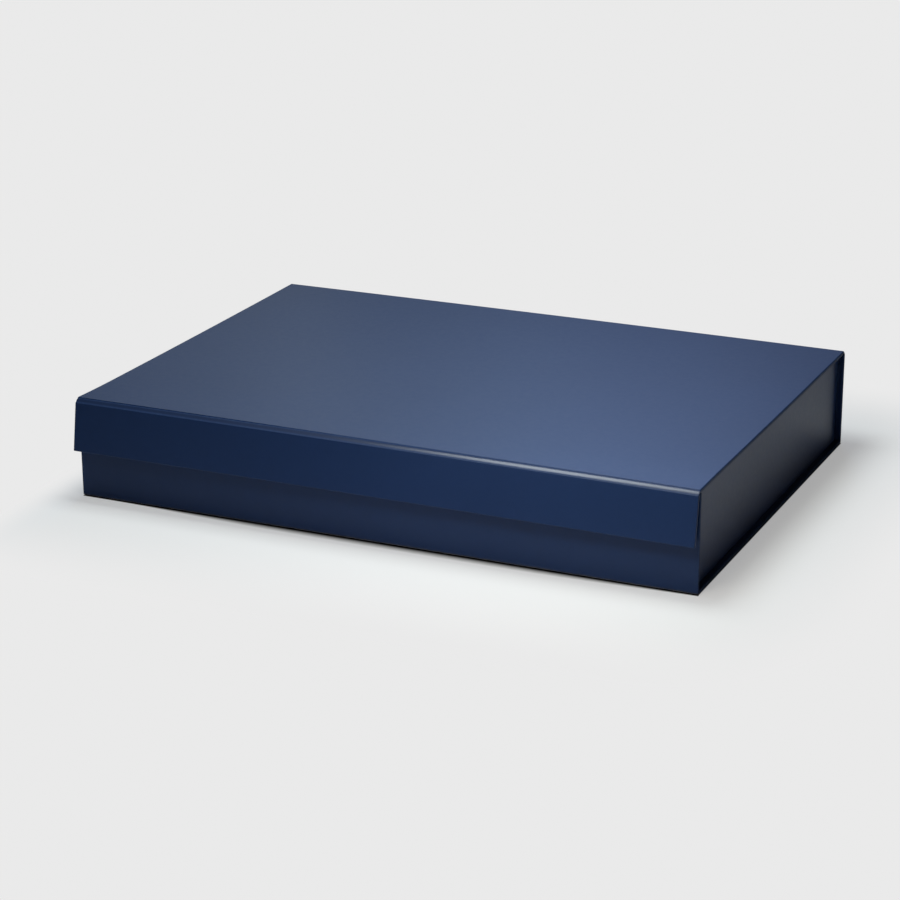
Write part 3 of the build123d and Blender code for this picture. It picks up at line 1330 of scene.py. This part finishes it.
@dataclass
class Case:
    """The case: five panels of one outer paper, folded round the tray and over its top."""

    panels: dict[str, Panel] = field(default_factory=dict)

    def __post_init__(self) -> None:
        """Sets out the five panels and the four creases."""
        s = SIZES
        tilt_sin, tilt_cos = sin(s.flap_tilt), cos(s.flap_tilt)
        corner = s.tilted(s.y_lid_front, s.height)
        back, up, down, ahead = (1.0, 0.0), (0.0, 1.0), (0.0, -1.0), (-1.0, 0.0)
        y_front, y_back, y_lid = s.y_front, s.y_back, s.y_lid_front
        flap_up, flap_back = (tilt_sin, tilt_cos), (tilt_cos, -tilt_sin)
        rows = [
            Panel("base", "tray", (0.0, 0.0), back, up, y_front + s.base_crease, y_back - s.base_crease),
            Panel("front_wall", "tray", (y_front, 0.0), up, back, s.base_crease, s.wall_top, FreeEdge.HIGH),
            Panel("spine", "tray", (y_back, 0.0), up, ahead, s.base_crease, s.height - s.lid_crease),
            Panel("lid", "lid", (0.0, s.height), back, down, y_lid + s.lid_crease, y_back - s.lid_crease),
            Panel("flap", "flap", corner, flap_up, flap_back, -s.flap_height, -s.lid_crease, FreeEdge.LOW),
        ]
        self.panels = {panel.name: panel for panel in rows}
        base, front, spine, lid, flap = rows
        self.base_front = Crease(base, base.low, front, front.low, bulge=0.9 * MM, nip=0.0)
        self.base_back = Crease(base, base.high, spine, spine.low, bulge=0.9 * MM, nip=0.0)
        self.lid_back = Crease(lid, lid.high, spine, spine.high)
        self.lid_front = Crease(lid, lid.low, flap, flap.high, bulge=-0.10 * MM, nip_right=-0.2)

    def outer_papers(self) -> None:
        """The outer paper in its stretches."""
        for panel in self.panels.values():
            sheets = [panel.outer_paper()]
            if panel.name == "base":
                sheets += [self.base_front.outer_paper(), self.base_back.outer_paper()]
            publish_sheet(
                f"{panel.name}_outer_paper", Sheet.joined(sheets), Slot.OUTER_PAPER, [f"{panel.name}_wrap"], panel.body
            )

    def creases(self) -> None:
        """The paper across the two creases that move, outside and inside."""
        moving = (("lid", self.lid_back, ("lid", "tray")), ("flap", self.lid_front, ("lid", "flap")))
        for name, crease, bodies in moving:
            crossing, web, liner = crease.crossing(bodies), f"{name}_crease_web", f"{name}_crease_liner"
            publish_sheet(f"{name}_crease_outer_paper", crease.outer_paper(), Slot.OUTER_PAPER, [web], crossing)
            publish_sheet(f"{name}_crease_inner_paper", crease.inner_paper(), Slot.INNER_PAPER, [liner], crossing)

    def inner_papers(self) -> None:
        """The inner paper of each panel."""
        s = SIZES
        half = s.half_length - s.liner_margin
        base, front, spine, lid, flap = self.panels.values()
        spans = {
            front: (s.foot_bottom + s.liner_play, front.high - s.liner_margin, False),
            spine: (s.foot_bottom + s.liner_play, spine.high - s.crease_end, False),
            lid: (lid.low + s.crease_end, lid.high - s.crease_end, True),
            flap: (flap.low + s.liner_margin, flap.high - s.crease_end, True),
        }
        for panel, (low, high, strips) in spans.items():
            sheet = panel.liner(half, low, high, s.turn_back, s.sink, strips)
            publish_sheet(f"{panel.name}_inner_paper", sheet, Slot.INNER_PAPER, [f"{panel.name}_liner"], panel.body)
        width = s.wall_outer - s.panel - s.liner_play
        inset = s.panel + s.liner_play
        sheet = base.liner(width, s.y_front + inset, s.y_back - inset, s.foot_top, s.base_sink, False)
        publish_sheet("base_inner_paper", sheet, Slot.INNER_PAPER, ["base_liner"], "tray")

    def boards(self) -> None:
        """The boards inside the panels."""
        for panel in self.panels.values():
            CarriedPiece(f"{panel.name}_greyboard", f"{panel.name}_board", Slot.GREYBOARD, panel.body).build()

    def build(self) -> None:
        """Builds the whole case."""
        self.boards()
        self.outer_papers()
        self.creases()
        self.inner_papers()


@dataclass(frozen=True)
class SideWall:
    """One side wall of the tray: a board on the foot of its own paper, held by a tab at each end."""

    name: str
    side: float
    fold: float = 0.45 * MM
    steps: int = 5
    foot_lines: int = 3
    strip_lines: tuple[float, ...] = (5.0 * MM, 10.0 * MM)
    tab_rows: int = 8
    tab_columns: int = 5

    def _section(self) -> tuple[np.ndarray, np.ndarray, np.ndarray]:
        """The outer paper's section, from the foot, up the outer face, over the top edge and down inside.

        Each corner is a quarter round of the fold's radius between straight runs.

        Returns:
            X and Z of its points, their outward directions, and the fold marks.
        """
        s, r = SIZES, self.fold
        back = s.wall_outer - s.turn_back
        t = np.linspace(0, pi / 2, self.steps + 1)
        quarter = np.stack([np.sin(t), np.cos(t)], axis=1)
        foot = np.linspace(s.half_length - s.turn_in, s.wall_outer - r, self.foot_lines, endpoint=False)
        rise = np.concatenate([self._tab_lines()[0], [s.wall_top - r - SUPPORT]])
        drop = s.wall_top - np.array([r + SUPPORT, *self.strip_lines, s.turn_in])
        runs = [
            (np.stack([foot, np.full(len(foot), s.foot_bottom)], 1), (0.0, -1.0), 0.0),
            (np.array([s.wall_outer - r, s.foot_bottom + r]) + r * quarter * (1, -1), quarter * (1, -1), 1.0),
            (np.stack([np.full(len(rise), s.wall_outer), rise], 1), (1.0, 0.0), 0.0),
            (np.array([s.wall_outer - r, s.wall_top - r]) + r * quarter[::-1], quarter[::-1], 1.0),
            (np.array([back + r, s.wall_top - r]) + r * quarter * (-1, 1), quarter * (-1, 1), 1.0),
            (np.stack([np.full(len(drop), back), drop], 1), (-1.0, 0.0), 0.0),
        ]
        points = np.concatenate([run[0] for run in runs])
        outward = np.concatenate([np.broadcast_to(run[1], run[0].shape) for run in runs])
        # Marks of 1 on the rounds give them the crease's glossier coat and its painted shade.
        marks = np.concatenate([np.full(len(run[0]), run[2]) for run in runs])
        return points, outward, marks

    def _tab_lines(self) -> tuple[np.ndarray, np.ndarray]:
        """Heights at which the outer face and the tabs have grid lines.

        Returns:
            All the outer face's heights, and those of them that the tab has.
        """
        s = SIZES
        tab = np.linspace(s.tab_bottom, s.tab_top, self.tab_rows)
        below = np.array([s.foot_bottom + self.fold + SUPPORT])
        return np.concatenate([below, tab]), tab

    def _at(self, x: np.ndarray, y: np.ndarray, z: np.ndarray) -> np.ndarray:
        """Points, with x turned to this side of the box."""
        x, y, z = np.broadcast_arrays(x, y, z)
        return np.stack([self.side * x, y, z], axis=-1)

    def outer_paper(self) -> Sheet:
        """The wall's paper, with a tapered tab folded in at each end.

        Returns:
            The sheet.
        """
        s, r = SIZES, self.fold
        section, outward, marks = self._section()
        glued = section - s.wrap * outward
        y = ruled(s.y_tabs[0] + r, s.y_tabs[1] - r)
        sheets = [
            Sheet.from_grid(
                *(self._at(line[:, :1], y[None, :], line[:, 1:]) for line in (section, glued)), marks[:, None]
            )
        ]
        t = np.linspace(0, pi / 2, self.steps + 1)[:, None]
        z = self._tab_lines()[1][None, :]
        reach = np.linspace(SUPPORT, s.corner_tab - r, self.tab_columns)[:, None]
        middle = (s.tab_bottom + s.tab_top) / 2
        taper = 1 - (reach / s.corner_tab) * s.tab_bevel / (middle - s.tab_bottom)
        for y_end, inward in zip(s.y_tabs, (1.0, -1.0)):
            layers = []
            for layer in (0.0, s.wrap):
                turn = r - layer
                x_fold = s.wall_outer - r + turn * np.cos(t)
                y_fold = y_end + inward * (r - turn * np.sin(t))
                x_tab = s.wall_outer - r - reach
                y_tab = y_end + inward * layer
                tab = self._at(x_tab, y_tab, middle + (z - middle) * taper)
                layers.append(np.concatenate([self._at(x_fold, y_fold, z), tab]))
            # The fold round of each tab reaches a mark of 1: glossier coat and painted shade.
            mark = np.concatenate([np.sin(2 * t), 0 * reach]) + 0 * z
            sheets.append(Sheet.from_grid(*layers, mark))
        return Sheet.joined(sheets)

    def inner_paper(self) -> Sheet:
        """The wall's inner paper, which sinks a little below the turned-in strip.

        Returns:
            The sheet.
        """
        s = SIZES
        inner = s.wall_outer - s.panel
        y_low, y_high = s.y_tabs[0] + s.wrap + s.liner_play, s.y_tabs[1] - s.wrap - s.liner_play
        y = ruled(y_low, y_high)[None, :]
        strip = s.wall_top - s.turn_in
        z = np.unique(np.concatenate([ruled(s.foot_top, s.wall_top - s.liner_margin), strip - STEP_LINES]))
        sunk = s.sink * stepped_down(strip - z)[:, None]
        return Sheet.from_grid(*(self._at(inner + layer + sunk, y, z[:, None]) for layer in (0.0, s.liner)))

    def build(self) -> None:
        """Builds the wall and its tapes."""
        CarriedPiece(f"{self.name}_wall_greyboard", f"{self.name}_wall_board", Slot.GREYBOARD, "tray").build()
        publish_sheet(
            f"{self.name}_wall_outer_paper", self.outer_paper(), Slot.OUTER_PAPER, [f"{self.name}_wall_wrap"], "tray"
        )
        publish_sheet(
            f"{self.name}_wall_inner_paper", self.inner_paper(), Slot.INNER_PAPER, [f"{self.name}_wall_liner"], "tray"
        )
        for end in ("front", "back"):
            tape = f"{end}_{self.name}_tape"
            CarriedPiece(f"{end}_{self.name}_tab_tape", tape, Slot.ADHESIVE_TAPE, "tray", eased=0.0).build()


@dataclass(frozen=True)
class Closure:
    """The hidden closure: a magnet in the flap and a steel disc in the front wall, on each side."""

    eased: float = 0.15 * MM

    def build(self) -> None:
        """Builds both pairs."""
        for name in ("left", "right"):
            CarriedPiece(f"{name}_flap_magnet", f"{name}_magnet", Slot.MAGNET, "flap", eased=self.eased).build()
            CarriedPiece(f"{name}_wall_disc", f"{name}_steel_disc", Slot.STEEL_DISC, "tray", eased=self.eased).build()


# Studio


@dataclass(frozen=True)
class SoftBox:
    """A rectangular soft light that faces a point, the middle of the box unless another is given."""

    name: str
    place: tuple[float, float, float]
    size: tuple[float, float]
    radiance: float
    tint: tuple[float, float, float]
    faces: tuple[float, float, float] = (0.0, 0.0, 0.05)

    def build(self) -> None:
        """Adds the light. Its power is radiance * area * pi, in watts."""
        lamp = bpy.data.lights.new(self.name, "AREA")
        lamp.shape = "RECTANGLE"
        lamp.size, lamp.size_y = self.size
        lamp.energy = self.radiance * self.size[0] * self.size[1] * pi
        lamp.color = self.tint
        holder = bpy.data.objects.new(self.name, lamp)
        holder.location = self.place
        aim = Vector(self.faces) - Vector(self.place)
        holder.rotation_euler = aim.to_track_quat("-Z", "Y").to_euler()
        holder.visible_camera = False
        bpy.context.scene.collection.objects.link(holder)


@dataclass(frozen=True)
class ProductCamera:
    """The photograph's camera, fitted to the corners of the box.

    It looks at a point that lies the aim's two numbers behind the foot of the front wall and above the table.
    """

    azimuth: float = radians(24.3676)
    elevation: float = radians(19.3301)
    roll: float = radians(-0.2108)
    distance: float = 4.0919 * SIZES.length
    shift_right: float = -0.0375 * SIZES.length
    shift_up: float = -0.0479 * SIZES.length
    aim: tuple[float, float] = (0.36 * SIZES.length, 0.08 * SIZES.length)
    lens: float = 103.73
    sensor: float = 36.0
    clip: tuple[float, float] = (0.05, 100.0)

    def build(self) -> None:
        """Adds the camera and makes it the scene's."""
        az, el, roll = self.azimuth, self.elevation, self.roll
        back = np.array([sin(az) * cos(el), -cos(az) * cos(el), sin(el)])
        level = np.cross(-back, [0.0, 0.0, 1.0])
        level /= np.linalg.norm(level)
        plumb = np.cross(level, -back)
        right = level * cos(roll) + plumb * sin(roll)
        up = plumb * cos(roll) - level * sin(roll)
        target = np.array([0.0, SIZES.y_front + self.aim[0], self.aim[1]])
        place = target + back * self.distance + right * self.shift_right + up * self.shift_up
        data = bpy.data.cameras.new("product_camera")
        data.sensor_fit = "HORIZONTAL"
        data.sensor_width = self.sensor
        data.lens = self.lens
        data.clip_start, data.clip_end = self.clip
        camera = bpy.data.objects.new("product_camera", data)
        turn = Matrix([[right[k], up[k], back[k], place[k]] for k in range(3)] + [[0.0, 0.0, 0.0, 1.0]])
        camera.matrix_world = turn
        bpy.context.scene.collection.objects.link(camera)
        bpy.context.scene.camera = camera


@dataclass(frozen=True)
class Studio:
    """A pale paper sweep, a dim room behind an even backdrop, and soft lights around the box."""

    floor_half: float = 30.0
    floor_lines: int = 25
    horizon: float = 0.02
    above: float = 0.0
    fade: tuple[float, float] = (0.03, 0.22)
    lights: tuple[SoftBox, ...] = (
        SoftBox("overhead_softbox", (-0.07, 0.0, 0.75), (0.30, 0.35), 10.9, (0.92, 0.96, 0.97)),
        SoftBox("overhead_right_softbox", (0.10, -0.06, 0.62), (0.22, 0.25), 2.35, (0.95, 0.98, 0.78)),
        SoftBox("overhead_front_softbox", (-0.27, -0.42, 1.20), (0.32, 0.22), 12.5, (0.85, 0.93, 1.0)),
        SoftBox("front_right_softbox", (0.16, -0.31, 0.25), (0.10, 0.08), 10.5, (1.0, 0.93, 0.82), (0.12, -0.16, 0.05)),
        SoftBox("front_near_softbox", (0.19, -0.40, 0.33), (0.14, 0.12), 5.8, (1.0, 0.90, 0.90), (0.12, -0.16, 0.05)),
        SoftBox("front_low_softbox", (0.02, -0.32, 0.12), (0.12, 0.06), 1.3, (1.0, 0.88, 0.99), (0.04, -0.16, 0.04)),
        SoftBox("back_softbox", (-0.30, 1.50, 0.80), (0.40, 0.25), 2.66, (0.60, 0.70, 1.0)),
        SoftBox("back_high_softbox", (-0.42, 1.40, 0.95), (0.40, 0.25), 5.36, (0.38, 0.56, 1.0)),
        SoftBox("back_left_softbox", (-0.70, 1.45, 0.80), (0.40, 0.25), 2.65, (0.71, 0.84, 1.0)),
        SoftBox("far_left_softbox", (-1.05, 1.40, 0.72), (0.40, 0.35), 1.03, (0.90, 1.0, 0.96)),
    )

    def floor(self) -> None:
        """A wide level sheet that faces up."""
        lines = np.linspace(-self.floor_half, self.floor_half, self.floor_lines)
        x, y = np.meshgrid(lines, lines)
        points = np.stack([x, y, 0 * x], axis=-1).reshape(-1, 3)
        mesh = bpy.data.meshes.new("paper_sweep")
        mesh.from_pydata(points.tolist(), [], grid_quads(self.floor_lines, self.floor_lines).tolist())
        mesh.materials.append(PaleSweep().material())
        sweep = bpy.data.objects.new("paper_sweep", mesh)
        bpy.context.scene.collection.objects.link(sweep)

    def world(self) -> None:
        """A dim room, a little lighter at the horizon, that the camera sees as the pale backdrop."""
        world = bpy.data.worlds.new("studio")
        bpy.context.scene.world = world
        world.use_nodes = True
        wiring = Wiring(world.node_tree)
        direction = wiring.node("ShaderNodeTexCoord", output="Generated")
        height = wiring.node("ShaderNodeSeparateXYZ", {}, {"Vector": direction}, output="Z")
        horizon, above, backdrop = (
            wiring.glow("Background", strength) for strength in (self.horizon, self.above, BACKDROP)
        )
        room = wiring.crossed(height.between(*self.fade), horizon, above)
        wiring.node("ShaderNodeOutputWorld", {}, {"Surface": wiring.crossed(wiring.seen(), room, backdrop)})

    def build(self) -> None:
        """Sets the stage, the lights, the camera and the view."""
        self.floor()
        self.world()
        for light in self.lights:
            light.build()
        ProductCamera().build()
        bpy.context.scene.view_settings.view_transform = "Standard"


def main() -> None:
    """Builds the case, both side walls, the closure and the studio, in that order."""
    logging.basicConfig(level=logging.INFO, format="%(name)s: %(message)s")
    Case().build()
    for name, side in (("left", -1.0), ("right", 1.0)):
        SideWall(name, side).build()
    Closure().build()
    Studio().build()


if __name__ == "__main__":
    main()
